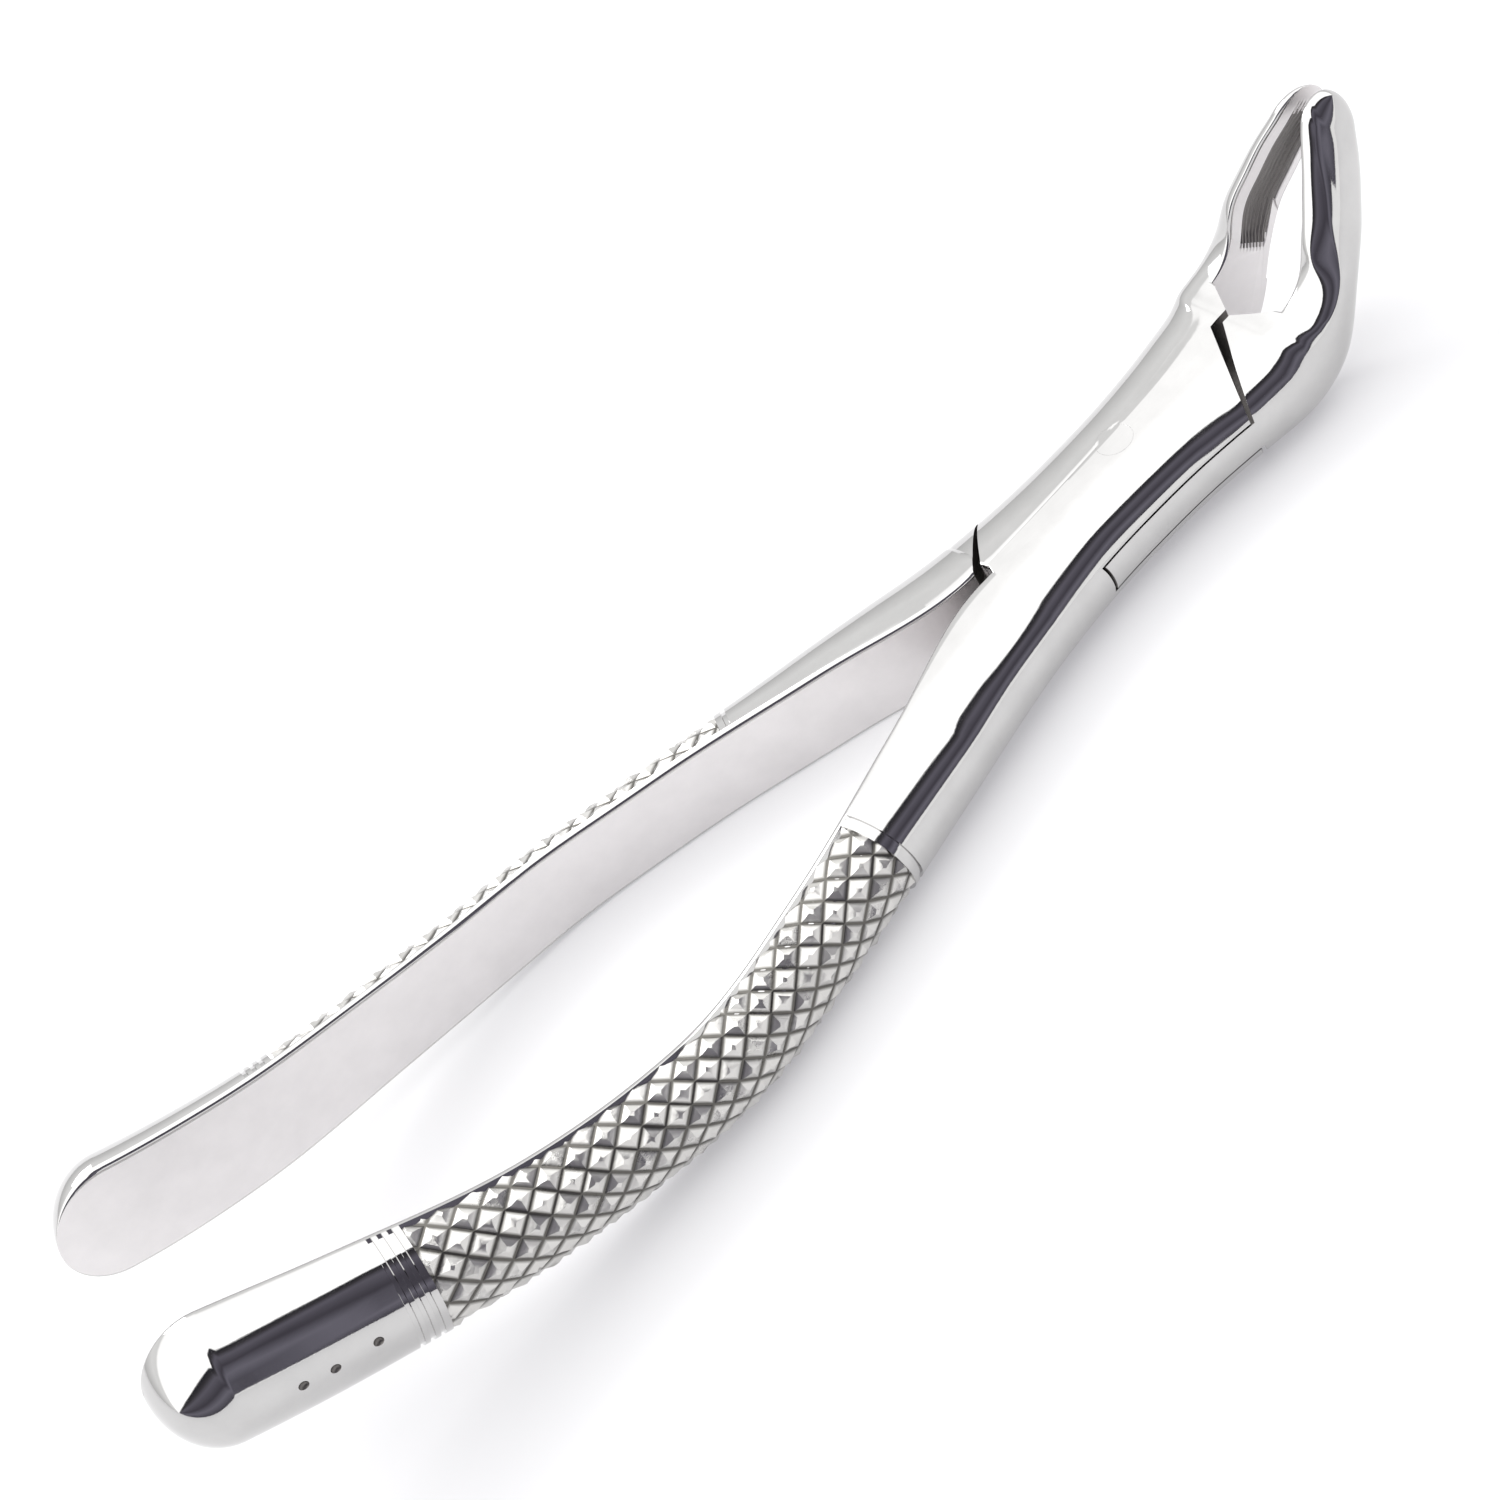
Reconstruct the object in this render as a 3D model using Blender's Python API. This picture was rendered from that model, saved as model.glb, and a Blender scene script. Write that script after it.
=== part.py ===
"""Extraction forceps with a box joint: two crossing halves and one hinge pin.

Sizes here are in millimetres, and meshes are made in metres.
+X runs from the pin to the beaks, +Y is the tool's left side and +Z runs along the pin.
The origin is on the pin's axis, at the flat underside of the box that the tool rests on.

Both halves start as mirrored sweeps along one path in the XZ plane. A place on the path is its
distance t from the pin: negative towards the handle's end, positive towards the beak's tip.
"""
import math

import bmesh
import bpy

MM = 0.001

# Side view: the path that the middle of each half follows.
PATH_HEIGHT = 5.2
RISE_START = -60.0          # the handle is straight up to here, then curves up
RISE_RADIUS = 130.0
HANDLE_END = -129.4
BEND_START = 15.5           # the beak bends up from here
BEND_RADIUS = 8.1
BEAK_ANGLE = math.radians(50)
BEAK_TIP = 44.8

# Plan view: distance from the middle plane to a half's inner face and to its outer side.
INNER = [(-129, 10.4), (-110, 12.0), (-92, 14.6), (-74, 15.4), (-55, 11.8), (-37, 6.0), (-20, 0.7)]
OUTER = [
    (-129, 18.2), (-110, 18.8), (-92, 20.3), (-74, 20.9), (-55, 17.8), (-37, 13.7), (-20, 9.8),
    (-10, 8.3), (0, 8.1), (10, 8.9), (17, 9.8), (23, 9.6), (30, 8.3), (35, 6.7), (39, 5.0),
    (42, 3.4), (44.5, 2.4),
]
# The left handle is a little slimmer than the right one.
LEFT_SLIMMER = [(-96, 1.0), (-88, 0.4), (-45, 0.4), (-30, 0.0)]
JOINED_FROM, JOINED_TO = -18.0, 23.2    # between these the two sweeps overlap and become one
JOINED_INNER = -1.0
CROWN_GAP = [(24, 4.8), (32, 4.7), (35, 3.8), (38.5, 2.7), (41.5, 1.4), (44.5, 0.9)]
# The space between the beaks starts as a V: X of its apex, X and half width of its open end.
NOTCH_APEX, NOTCH_END, NOTCH_HALF_WIDTH = 17.2, 19.9, 5.0
NOTCH_TOP = 14.0

# Section: half heights above and below the path, and how square its rounded side is.
END_FLARE = 1.3
FLARE_START, FLARE_LENGTH = -78.0, 45.0
ABOVE = [
    (-90, 5.5), (-50, 5.35), (-2, 5.35), (8, 5.6), (15, 6.1), (20, 5.9), (22.6, 5.1), (24, 3.7),
    (25.2, 3.0), (27.5, 2.45), (31.8, 3.45), (38, 3.45), (44.5, 3.1),
]
BELOW = [(-90, 5.4), (-60, 5.2), (15, 5.2), (20, 5.0), (23, 4.5), (28, 3.9), (40, 3.8), (44.5, 3.2)]
SQUARENESS_ABOVE = [(-104, 1.8), (-90, 2.0), (-40, 2.2), (8, 2.4), (23, 2.2), (29, 1.7)]
SQUARENESS_BELOW = 2.2
BOX_FLAT = [(-18, 2.0), (0, 2.4), (18, 5.2), (24, 5.5)]    # half width of the box's flat faces
CHAMFER = 0.45
HOLLOW = [(28, 0.0), (31, 0.7), (41, 0.6), (44.5, 0.0)]
NOSE_LENGTH, TIP_LENGTH = 6.0, 3.0
NOSE_ANGLES = (85, 72, 58, 43, 28, 14)

# Box joint.
SLOT_MIDDLE = 5.5
PIN_RADIUS = 2.0
PIN_CLEARANCE = 0.05
PIN_SIDES = 32
SLOT_HALF_HEIGHT = 1.85
TONGUE_HALF_HEIGHT = 1.65
SLOT_RADIUS = 13.8
TONGUE_RADIUS = 13.5
# Y where the male half and the female half stop along the middle, behind and ahead of the pin.
REAR_SEAM = (0.45, -0.45)
FRONT_SEAM = (-0.05, 0.85)
# Edges of the female half's walls and shoulders of the male half: x = offset + slope * y.
WALL_FRONT, WALL_REAR = (14.8, 0.60), (-19.0, 0.68)
SHOULDER_FRONT, SHOULDER_REAR = (16.3, 0.72), (-20.2, 0.80)
ARC_END = math.radians(45)
ARC_STEPS = 12
FAR = 200.0                 # reach of the cutters, beyond the whole tool
CURVE_STEPS = 9             # facets in each quarter of a section

STEEL = (0.79, 0.79, 0.80, 1.0)
PIN_STEEL = (0.72, 0.72, 0.74, 1.0)


def slope_at(points, index):
    """Slope of the smooth curve at one of its points: level at ends, peaks and flat stretches."""
    if index in (0, len(points) - 1):
        return 0.0
    before, here, after = points[index - 1:index + 2]
    if (here[1] - before[1]) * (after[1] - here[1]) <= 0:
        return 0.0
    return (after[1] - before[1]) / (after[0] - before[0])


def smooth(points, t):
    """Value at t of a smooth curve through the points, held level beyond its ends."""
    if t <= points[0][0]:
        return points[0][1]
    if t >= points[-1][0]:
        return points[-1][1]
    index = max(i for i, point in enumerate(points) if point[0] <= t)
    start, end = points[index], points[index + 1]
    span = end[0] - start[0]
    slope_start, slope_end = slope_at(points, index), slope_at(points, index + 1)
    u = (t - start[0]) / span
    return (
        (1 + 2 * u) * (1 - u) ** 2 * start[1] + u * (1 - u) ** 2 * span * slope_start
        + u * u * (3 - 2 * u) * end[1] + u * u * (u - 1) * span * slope_end
    )


def path_point(t):
    """X, Z and slope angle of the path at t."""
    if t < RISE_START:
        angle = (RISE_START - t) / RISE_RADIUS
        x = RISE_START - RISE_RADIUS * math.sin(angle)
        return x, PATH_HEIGHT + RISE_RADIUS * (1 - math.cos(angle)), -angle
    if t <= BEND_START:
        return t, PATH_HEIGHT, 0.0
    angle = min((t - BEND_START) / BEND_RADIUS, BEAK_ANGLE)
    straight = max(t - BEND_START - BEND_RADIUS * BEAK_ANGLE, 0.0)
    x = BEND_START + BEND_RADIUS * math.sin(angle) + straight * math.cos(angle)
    z = PATH_HEIGHT + BEND_RADIUS * (1 - math.cos(angle)) + straight * math.sin(angle)
    return x, z, angle


def inner_face(t):
    """Distance from the middle plane to the inner face at t."""
    if t < JOINED_FROM:
        return smooth(INNER, t)
    if t <= JOINED_TO:
        return JOINED_INNER
    return smooth(CROWN_GAP, t)


def outer_side(t, side):
    """Distance from the middle plane to the outer side at t; side is +1 for left, -1 for right."""
    slimmer = smooth(LEFT_SLIMMER, t) if side > 0 else 0.0
    return smooth(OUTER, t) - slimmer


def half_heights(t):
    """Section's height above and below the path at t."""
    flare = min(max((FLARE_START - t) / FLARE_LENGTH, 0.0), 1.0)
    extra = END_FLARE * flare * flare * (3 - 2 * flare)
    return smooth(ABOVE, t) + extra, smooth(BELOW, t) + extra


def end_scale(t):
    """How much the section has shrunk at t, in the domed nose and the rounded beak tip."""
    into_nose = (HANDLE_END + NOSE_LENGTH - t) / NOSE_LENGTH
    into_tip = (t - BEAK_TIP + TIP_LENGTH) / TIP_LENGTH
    depth = min(max(into_nose, into_tip, 0.0), 0.995)
    return math.sqrt(1 - depth * depth)


def section(t, side):
    """Outline of one half at t, as (distance from the middle plane, height over the path)."""
    scale = end_scale(t)
    above, below = (height * scale for height in half_heights(t))
    inner = inner_face(t)
    outer = inner + (outer_side(t, side) - inner) * scale
    chamfer = CHAMFER * scale
    in_box = JOINED_FROM <= t <= JOINED_TO
    flat_end = smooth(BOX_FLAT, t) if in_box else inner + 1.5 * chamfer
    hollow = smooth(HOLLOW, t) * scale
    outline = [(inner, above - chamfer), (inner + chamfer, above)]
    upper = (above, smooth(SQUARENESS_ABOVE, t), range(CURVE_STEPS))
    lower = (-below, SQUARENESS_BELOW, range(CURVE_STEPS, -1, -1))
    for height, squareness, steps in (upper, lower):
        for step in steps:
            turn = 0.5 * math.pi * step / CURVE_STEPS
            across = math.sin(turn) ** (2 / squareness)
            up = math.cos(turn) ** (2 / squareness) if step < CURVE_STEPS else 0.0
            outline.append((flat_end + (outer - flat_end) * across, height * up))
    outline += [(inner + chamfer, -below), (inner, chamfer - below)]
    outline += [(inner + 0.75 * hollow, -0.5 * below), (inner + hollow, 0.0)]
    outline.append((inner + 0.75 * hollow, 0.5 * above))
    return outline


def stations():
    """Places along the path where the section is laid, closer together where it changes."""
    nose = [HANDLE_END + NOSE_LENGTH * (1 - math.sin(math.radians(a))) for a in NOSE_ANGLES]
    tip = [BEAK_TIP - TIP_LENGTH * (1 - math.sin(math.radians(a))) for a in NOSE_ANGLES]
    handle = [HANDLE_END + NOSE_LENGTH + 4.0 * i for i in range(26)]
    root = [-19.5, JOINED_FROM, -15.0, -11.0, -7.0, -3.5, 0.0, 3.5, 7.0, 11.0, 14.0]
    bend = [BEND_START, 16.8, 18.0, 19.0, 20.0, 21.0, 21.8, 22.5, JOINED_TO, 24.0, 25.2, 26.5]
    blade = [28.0 + 1.75 * i for i in range(8)] + [BEAK_TIP - TIP_LENGTH]
    return sorted([HANDLE_END] + nose + handle + root + bend + blade + tip + [BEAK_TIP])


def mesh_object(name, vertices, faces):
    """New object from vertices in millimetres."""
    mesh = bpy.data.meshes.new(name)
    mesh.from_pydata([[value * MM for value in vertex] for vertex in vertices], [], faces)
    mesh.validate()
    made = bpy.data.objects.new(name, mesh)
    bpy.context.scene.collection.objects.link(made)
    return made


def face_outwards(made):
    """Turn the faces of a closed mesh outwards."""
    shape = bmesh.new()
    shape.from_mesh(made.data)
    bmesh.ops.recalc_face_normals(shape, faces=shape.faces)
    shape.to_mesh(made.data)
    shape.free()


def sweep(name, side):
    """Closed sweep of one half from nose to beak tip."""
    vertices = []
    rings = stations()
    for t in rings:
        x, z, angle = path_point(t)
        for across, up in section(t, side):
            vertices.append((x - up * math.sin(angle), side * across, z + up * math.cos(angle)))
    count = len(vertices) // len(rings)
    faces = [tuple(range(count)), tuple(range(len(vertices) - count, len(vertices)))]
    for ring in range(len(rings) - 1):
        for point in range(count):
            following = (point + 1) % count
            base = ring * count
            faces.append((base + point, base + following, base + count + following, base + count + point))
    made = mesh_object(name, vertices, faces)
    face_outwards(made)
    return made


def prism(name, outline, low, high):
    """Upright prism over an outline in plan, between two heights."""
    count = len(outline)
    vertices = [(x, y, low) for x, y in outline] + [(x, y, high) for x, y in outline]
    faces = [tuple(range(count)), tuple(range(count, 2 * count))]
    for point in range(count):
        following = (point + 1) % count
        faces.append((point, following, count + following, count + point))
    made = mesh_object(name, vertices, faces)
    face_outwards(made)
    return made


def combine(target, tool, operation):
    """Apply a Boolean of the tool to the target, and remove the tool."""
    modifier = target.modifiers.new(operation.lower(), "BOOLEAN")
    modifier.operation = operation
    modifier.solver = "EXACT"
    modifier.object = tool
    depsgraph = bpy.context.evaluated_depsgraph_get()
    result = bpy.data.meshes.new_from_object(target.evaluated_get(depsgraph))
    target.modifiers.clear()
    target.data = result
    bpy.data.objects.remove(tool)


def arc(radius, start, end):
    """Points along an arc about the pin."""
    step = (end - start) / ARC_STEPS
    turns = [start + step * i for i in range(ARC_STEPS + 1)]
    return [(radius * math.cos(turn), radius * math.sin(turn)) for turn in turns]


def edge_x(edge, y):
    """X of a wall edge or shoulder at y."""
    return edge[0] + edge[1] * y


def rear_left(edge, seam):
    """Plan region behind an edge, to the left of a seam."""
    reach = 12.0
    return [
        (-FAR, seam), (edge_x(edge, seam), seam), (edge_x(edge, reach), reach),
        (edge_x(edge, reach), FAR), (-FAR, FAR),
    ]


def front_right(edge, seam):
    """Plan region ahead of an edge, to the right of a seam."""
    reach = -12.0
    return [
        (FAR, seam), (edge_x(edge, seam), seam), (edge_x(edge, reach), reach),
        (edge_x(edge, reach), -FAR), (FAR, -FAR),
    ]


def pin_hole():
    """Cutter for the pin's hole through a half."""
    sides = [2 * math.pi * i / PIN_SIDES for i in range(PIN_SIDES)]
    radius = PIN_RADIUS + PIN_CLEARANCE
    circle = [(radius * math.cos(turn), radius * math.sin(turn)) for turn in sides]
    return prism("pin_hole", circle, -FAR, FAR)


def joined_halves(name):
    """Both sweeps as one solid, joined through the box and parted by the notch ahead of it."""
    whole = sweep(name, 1)
    combine(whole, sweep("right_sweep", -1), "UNION")
    notch = [
        (NOTCH_APEX, 0.0), (NOTCH_END, NOTCH_HALF_WIDTH), (30.0, NOTCH_HALF_WIDTH),
        (30.0, -NOTCH_HALF_WIDTH), (NOTCH_END, -NOTCH_HALF_WIDTH),
    ]
    combine(whole, prism("notch", notch, -FAR, NOTCH_TOP), "DIFFERENCE")
    return whole


def build_female_half():
    """Right handle, slotted box and left beak."""
    half = joined_halves("female_half")
    rear_seam, front_seam = REAR_SEAM[1], FRONT_SEAM[1]
    combine(half, prism("rear_cut", rear_left(WALL_REAR, rear_seam), -FAR, FAR), "DIFFERENCE")
    combine(half, prism("front_cut", front_right(WALL_FRONT, front_seam), -FAR, FAR), "DIFFERENCE")
    rear_start = math.pi + math.asin(-rear_seam / SLOT_RADIUS)
    front_start = math.asin(front_seam / SLOT_RADIUS)
    slot = [(-FAR, rear_seam)] + arc(SLOT_RADIUS, rear_start, math.pi + ARC_END)
    slot += [(slot[-1][0], -FAR), (FAR, -FAR), (FAR, front_seam)]
    slot += arc(SLOT_RADIUS, front_start, ARC_END)
    slot += [(slot[-1][0], FAR), (-FAR, FAR)]
    low, high = SLOT_MIDDLE - SLOT_HALF_HEIGHT, SLOT_MIDDLE + SLOT_HALF_HEIGHT
    combine(half, prism("slot", slot, low, high), "DIFFERENCE")
    combine(half, pin_hole(), "DIFFERENCE")
    return half


def build_male_half():
    """Left handle, tongue through the slot and right beak."""
    half = joined_halves("male_half")
    rear_seam, front_seam = REAR_SEAM[0], FRONT_SEAM[0]
    behind = rear_left(SHOULDER_REAR, rear_seam)
    ahead = front_right(SHOULDER_FRONT, front_seam)
    around = behind[:4] + [(FAR, FAR)] + ahead[:4] + [(-FAR, -FAR)]
    low, high = SLOT_MIDDLE - TONGUE_HALF_HEIGHT, SLOT_MIDDLE + TONGUE_HALF_HEIGHT
    combine(half, prism("over_tongue", around, high, FAR), "DIFFERENCE")
    combine(half, prism("under_tongue", around, -FAR, low), "DIFFERENCE")
    for name, sign, seam in (("right_rear_cut", 1.0, rear_seam), ("left_front_cut", -1.0, -front_seam)):
        outline = [(-FAR, seam), (-TONGUE_RADIUS, seam)]
        outline += arc(TONGUE_RADIUS, math.pi, math.pi + ARC_END)
        outline += [(outline[-1][0], -FAR), (-FAR, -FAR)]
        turned = [(sign * x, sign * y) for x, y in outline]
        combine(half, prism(name, turned, -FAR, FAR), "DIFFERENCE")
    combine(half, pin_hole(), "DIFFERENCE")
    return half


def build_hinge_pin():
    """Rivet pin, flush with the top and the underside of the box."""
    sides = [2 * math.pi * i / PIN_SIDES for i in range(PIN_SIDES)]
    circle = [(PIN_RADIUS * math.cos(turn), PIN_RADIUS * math.sin(turn)) for turn in sides]
    return prism("hinge_pin", circle, 0.0, PATH_HEIGHT + smooth(ABOVE, 0.0))


def finish(made, colour, roughness):
    """Give a piece its steel and its shading."""
    material = bpy.data.materials.new(made.name + "_steel")
    material.use_nodes = True
    shader = material.node_tree.nodes["Principled BSDF"]
    shader.inputs["Base Color"].default_value = colour
    shader.inputs["Metallic"].default_value = 1.0
    shader.inputs["Roughness"].default_value = roughness
    made.data.materials.clear()
    made.data.materials.append(material)
    made.data.shade_smooth()
    made.data.set_sharp_from_angle(angle=math.radians(32))


def main():
    for existing in list(bpy.data.objects):
        bpy.data.objects.remove(existing)
    finish(build_female_half(), STEEL, 0.16)
    finish(build_male_half(), STEEL, 0.16)
    finish(build_hinge_pin(), PIN_STEEL, 0.2)


main()
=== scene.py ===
"""Looks of the extraction forceps: two polished steel halves, their knurl, a studio and a camera.

Sizes here are in millimetres, and meshes are made in metres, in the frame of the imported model:
+X from the pin to the beaks, +Y to the tool's left, +Z along the pin, origin under the pin.
As in the CAD, each half is a sweep along one path in the XZ plane. A place on the path is its
distance t from the pin, negative towards the handle's end. The two sweeps are joined through the
box, and cut apart into the half with the slot (female) and the half with the tongue (male).
"""
import math

import bmesh
import bpy
import numpy as np
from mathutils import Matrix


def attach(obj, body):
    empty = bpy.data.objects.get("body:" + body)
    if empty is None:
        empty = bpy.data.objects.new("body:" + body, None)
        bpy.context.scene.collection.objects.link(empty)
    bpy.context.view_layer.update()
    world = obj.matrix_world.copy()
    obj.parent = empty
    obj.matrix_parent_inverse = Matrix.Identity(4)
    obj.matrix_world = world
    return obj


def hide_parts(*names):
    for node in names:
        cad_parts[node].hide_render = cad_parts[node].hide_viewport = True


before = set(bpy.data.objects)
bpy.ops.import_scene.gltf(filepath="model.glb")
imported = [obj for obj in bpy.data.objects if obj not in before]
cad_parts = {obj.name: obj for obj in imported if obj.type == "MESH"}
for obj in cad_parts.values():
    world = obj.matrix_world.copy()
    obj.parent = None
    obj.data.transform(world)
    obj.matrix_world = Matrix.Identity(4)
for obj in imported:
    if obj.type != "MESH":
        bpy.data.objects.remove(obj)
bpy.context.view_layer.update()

MM = 0.001

# Side view of the path.
PATH_HEIGHT = 5.2
RISE_START, RISE_RADIUS = -60.0, 130.0
BEND_START, BEND_RADIUS = 15.5, 8.1
BEAK_ANGLE = math.radians(50)
PATH_EASING, EASING_STEPS = 2.0, 6
HANDLE_END, BEAK_TIP = -129.3, 44.7
NOSE_LENGTH, TIP_LENGTH = 6.0, 3.0

# Plan view: distance from the middle plane to the inner face and to the outer side.
INNER = [(-129, 10.4), (-110, 12.0), (-92, 14.6), (-74, 15.4), (-55, 11.8), (-37, 6.0), (-20, 0.7)]
OUTER = [
    (-129, 18.2), (-110, 18.8), (-92, 20.3), (-74, 20.9), (-55, 17.8), (-37, 13.7), (-20, 9.8),
    (-10, 8.3), (0, 8.1), (10, 8.9), (17, 9.8), (23, 9.6), (30, 8.3), (35, 6.7), (39, 5.0),
    (42, 3.4), (44.5, 2.4),
]
LEFT_SLIMMER = [(-96, 1.0), (-88, 0.4), (-45, 0.4), (-30, 0.0)]
JOINED_FROM, JOINED_TO, JOINED_INNER = -18.0, 23.2, -0.5
CROWN_GAP = [(24, 4.8), (32, 4.7), (35, 3.8), (38.5, 2.7), (41.5, 1.4), (44.5, 0.9)]
NOTCH_APEX, NOTCH_END, NOTCH_HALF_WIDTH, NOTCH_TOP, NOTCH_FAR = 17.2, 19.9, 4.85, 14.0, 30.0

# Section: half heights above and below the path, and how square its rounded side is.
END_FLARE, FLARE_START, FLARE_LENGTH = 1.3, -78.0, 45.0
ABOVE = [
    (-90, 5.5), (-50, 5.35), (-2, 5.35), (8, 5.6), (15, 6.1), (20, 5.9), (22.6, 5.1), (24, 3.7),
    (25.2, 3.0), (27.5, 2.45), (31.8, 3.45), (38, 3.45), (44.5, 3.1),
]
BELOW = [(-90, 5.4), (-60, 5.2), (15, 5.2), (20, 5.0), (23, 4.5), (28, 3.9), (40, 3.8), (44.5, 3.2)]
SQUARENESS_ABOVE = [(-104, 1.8), (-90, 2.0), (-40, 2.2), (8, 2.4), (23, 2.2), (29, 1.7)]
SQUARENESS_BELOW = 2.2
UPPER_CORNER = [(-45, 0.6), (-26, 0.5), (20, 0.45)]
LOWER_CORNER = 0.45
SIDE_GAP = 0.12             # between the upper corner and the rounded side
LEAST_UNDER = 1.5           # least half width of the box's flat underside
MOST_DEPTH = 0.9985         # keeps the outermost section of a rounded end from being a point
# On the box a crease parts the flat top from the rounded side.
CREASE_Y = {
    1: [(-20, 0.3), (-12, 0.5), (0, 1.2), (12, 2.3), (18, 4.0), (22, 5.4)],
    -1: [(-34, 5.2), (-24, 4.6), (-18, 3.8), (-2, 2.7), (8, 3.0), (22, 5.4)],
}
CREASE_TURN = math.radians(10)
CREASE_FADE = [(-28, 0.0), (-18, 1.0), (14, 1.0), (22, 0.0)]
CREASE_GROOVE = {1: 0.06, -1: 0.02}
# How far to each side of a place these curves are averaged, along the path.
SOFTENING_STEPS = 4
INNER_REACH, CROWN_REACH, OUTER_REACH = 2.0, 1.2, 3.0
ABOVE_REACH, BELOW_REACH, CREASE_REACH = 1.4, 1.5, 2.0

# Hollow and serrations of a beak's inner face.
HOLLOW = [(26.6, 0.0), (29.2, 0.55), (40, 0.55), (43.6, 0.0)]
HOLLOW_LOW, HOLLOW_HIGH, HOLLOW_EDGE = 0.10, 0.78, 0.08
HOLLOW_BOWL = 0.3
RIDGES, RIDGE_HEIGHT = 8, 0.16
SERRATED_FROM = 0.16        # least depth that is serrated, two neighbouring sections added up

# Box joint.
SLOT_MIDDLE = 5.5
SLOT_HALF_HEIGHT, TONGUE_HALF_HEIGHT = 1.85, 1.65
SLOT_RADIUS, TONGUE_RADIUS = 13.8, 13.5
PIN_RADIUS, PIN_CLEARANCE = 2.0, 0.012
# Y of the male half's edge and of the female half's edge, at the seam between them.
REAR_SEAM, FRONT_SEAM = (0.45, -0.45), (-0.05, 0.85)
# X on the middle plane, and change of X per Y.
WALL_FRONT, WALL_REAR = (14.8, 0.60), (-19.0, 0.68)
SHOULDER_FRONT, SHOULDER_REAR = (16.3, 0.72), (-20.2, 0.80)
ARC_END = math.radians(45)
WALL_REACH = 12.0
FAR = 200.0
SPLIT = -26.0               # the handles are swept apart from the box and joined to it here
EDGE_BEVEL, BEVEL_ANGLE = 0.08, math.radians(28)
SHARP_ANGLE = math.radians(18)
WELD, SEAM_WELD = 0.006, 0.002
ON_CAP, ON_SEAM = 0.0001, 0.001       # how near to the split a point counts as on it

# Grip: grooved rings at both ends, and a knurl of small pyramids between them.
GRIP_START, GRIP_END = -47.8, -104.0
GRIP_INSET = 0.56
RING_DEPTH = 0.25
START_RINGS, END_RINGS, RING_PITCH, FIRST_RING = 1, 3, 1.0, 0.95
RING_FLOOR, RING_RIM = 0.2, 0.26      # half widths of a ring's groove
RING_STEP = 0.02
GRIP_ENDS = ((GRIP_START, 1, START_RINGS), (GRIP_END, -1, END_RINGS))
GRIP_LEAN = 0.27            # keeps the rings square to the handle, which runs outwards there
LEAN_START, LEAN_FULL, LEAN_FADE, LEAN_END = -59.0, -50.0, -42.0, -32.0
KNURL_PITCH = 3.16          # along X, between grooves that run at 45 degrees to X
KNURL_LOW, KNURL_HIGH = -0.48, -0.09
# Inset and height of a pyramid's corners, from its foot to its small flat top.
KNURL_PROFILE = ((0.0, 0.0), (0.04, 0.0), (0.22, 0.5), (0.41, 1.0))
KNURL_RIM, KNURL_ROOT = 0.15, 0.25
KNURL_WELD = 0.01
KNURL_WEAR, MOST_WEAR, WEAR_SEED = 0.05, 0.07, 3
ROUND = 100.0               # width of the grip's surface while its knurl lies flat
TABLE_MARGIN, TABLE_STEP, TABLE_COLUMNS = 3.0, 0.5, 160
# Places of the punched dots, and how far round the rounded side they are.
PUNCH_MARKS = ((-110.5, 0.46), (-114.7, 0.48), (-117.7, 0.48))
PUNCH_RADIUS, PUNCH_LIFT, PUNCH_COLUMNS = 0.6, 0.32, 100

# Columns of a section: flat top, rounded side, flat underside, corners and inner face.
FLAT_COLUMNS, SIDE_COLUMNS, CORNER_COLUMNS, INNER_COLUMNS = 5, 52, 5, 84
SIDE_SAMPLES = 120          # fine points of a rounded quarter, before it gets its even columns

# Distances between sections, and the turns at which sections of a rounded end stand, in degrees.
HANDLE_STEP, GRIP_STEP, BOX_STEP, BEND_STEP, BEAK_STEP = 1.0, 1.2, 1.1, 0.45, 0.5
END_TURNS = range(87, 0, -5)

# Each steel's colour, least roughness, spread of roughness and strength of its scratches.
POLISHED, SATIN_PAINTED_LIGHT, MACHINED, SERRATED = range(4)
STEELS = {
    "polished_steel": ((0.57, 0.565, 0.56), 0.03, 0.05, 0.03),
    # Satin steel: a real satin finish, with a colour made lighter than the polished steel's as painted
    # light.
    "satin_steel_painted_light": ((0.79, 0.77, 0.77), 0.30, 0.12, 0.35),
    "machined_steel": ((0.16, 0.15, 0.145), 0.30, 0.15, 0.5),
    "serrated_steel": ((0.22, 0.21, 0.205), 0.26, 0.12, 0.6),
}
KNURLED_STEEL = ((0.66, 0.65, 0.63), 0.20, 0.18, 1.0)
LONG_GRAIN, EVEN_GRAIN = (40.0, 900.0, 900.0), (500.0, 500.0, 500.0)
STAIN = 0.93                # darkest tone of a steel, as a share of its colour
# Painted shade in the knurl's grooves: the steel's colour is multiplied darker towards each groove's
# floor.
GROOVE_PAINTED_SHADE = ((0.02, (0.20, 0.195, 0.185)), (0.36, (1.0, 1.0, 1.0)))

# Surroundings that the steel mirrors, as stops of colour ramps.
WALL_TOP = ((0.0, 0.29), (0.10, 0.27), (0.22, 0.355), (0.36, 0.38), (0.5, 0.32))
WALL_COLOURS = (
    (0.0, (0.012, 0.012, 0.016)), (0.20, (0.03, 0.028, 0.036)), (0.28, (0.11, 0.105, 0.13)),
    (0.34, (0.04, 0.037, 0.047)), (0.42, (0.085, 0.08, 0.10)), (0.46, (0.03, 0.028, 0.032)),
    (0.497, (0.012, 0.012, 0.016)), (0.503, (1.0, 1.0, 1.0)),
)
RAGGEDNESS = 0.03
PLINTH_TOP = ((0.0, 0.0), (0.16, 0.01), (0.23, 0.07), (0.4, 0.08), (0.5, 0.04))
PLINTH_COLOUR = (0.62, 0.62, 0.62, 1.0)
FAR_SIDE = (
    (0.0, 1.0), (0.69, 1.0), (0.747, 0.80), (0.757, 0.55), (0.84, 0.56), (0.92, 0.46), (1.0, 0.36),
)
SKY_STRENGTH = 2.1

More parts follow.
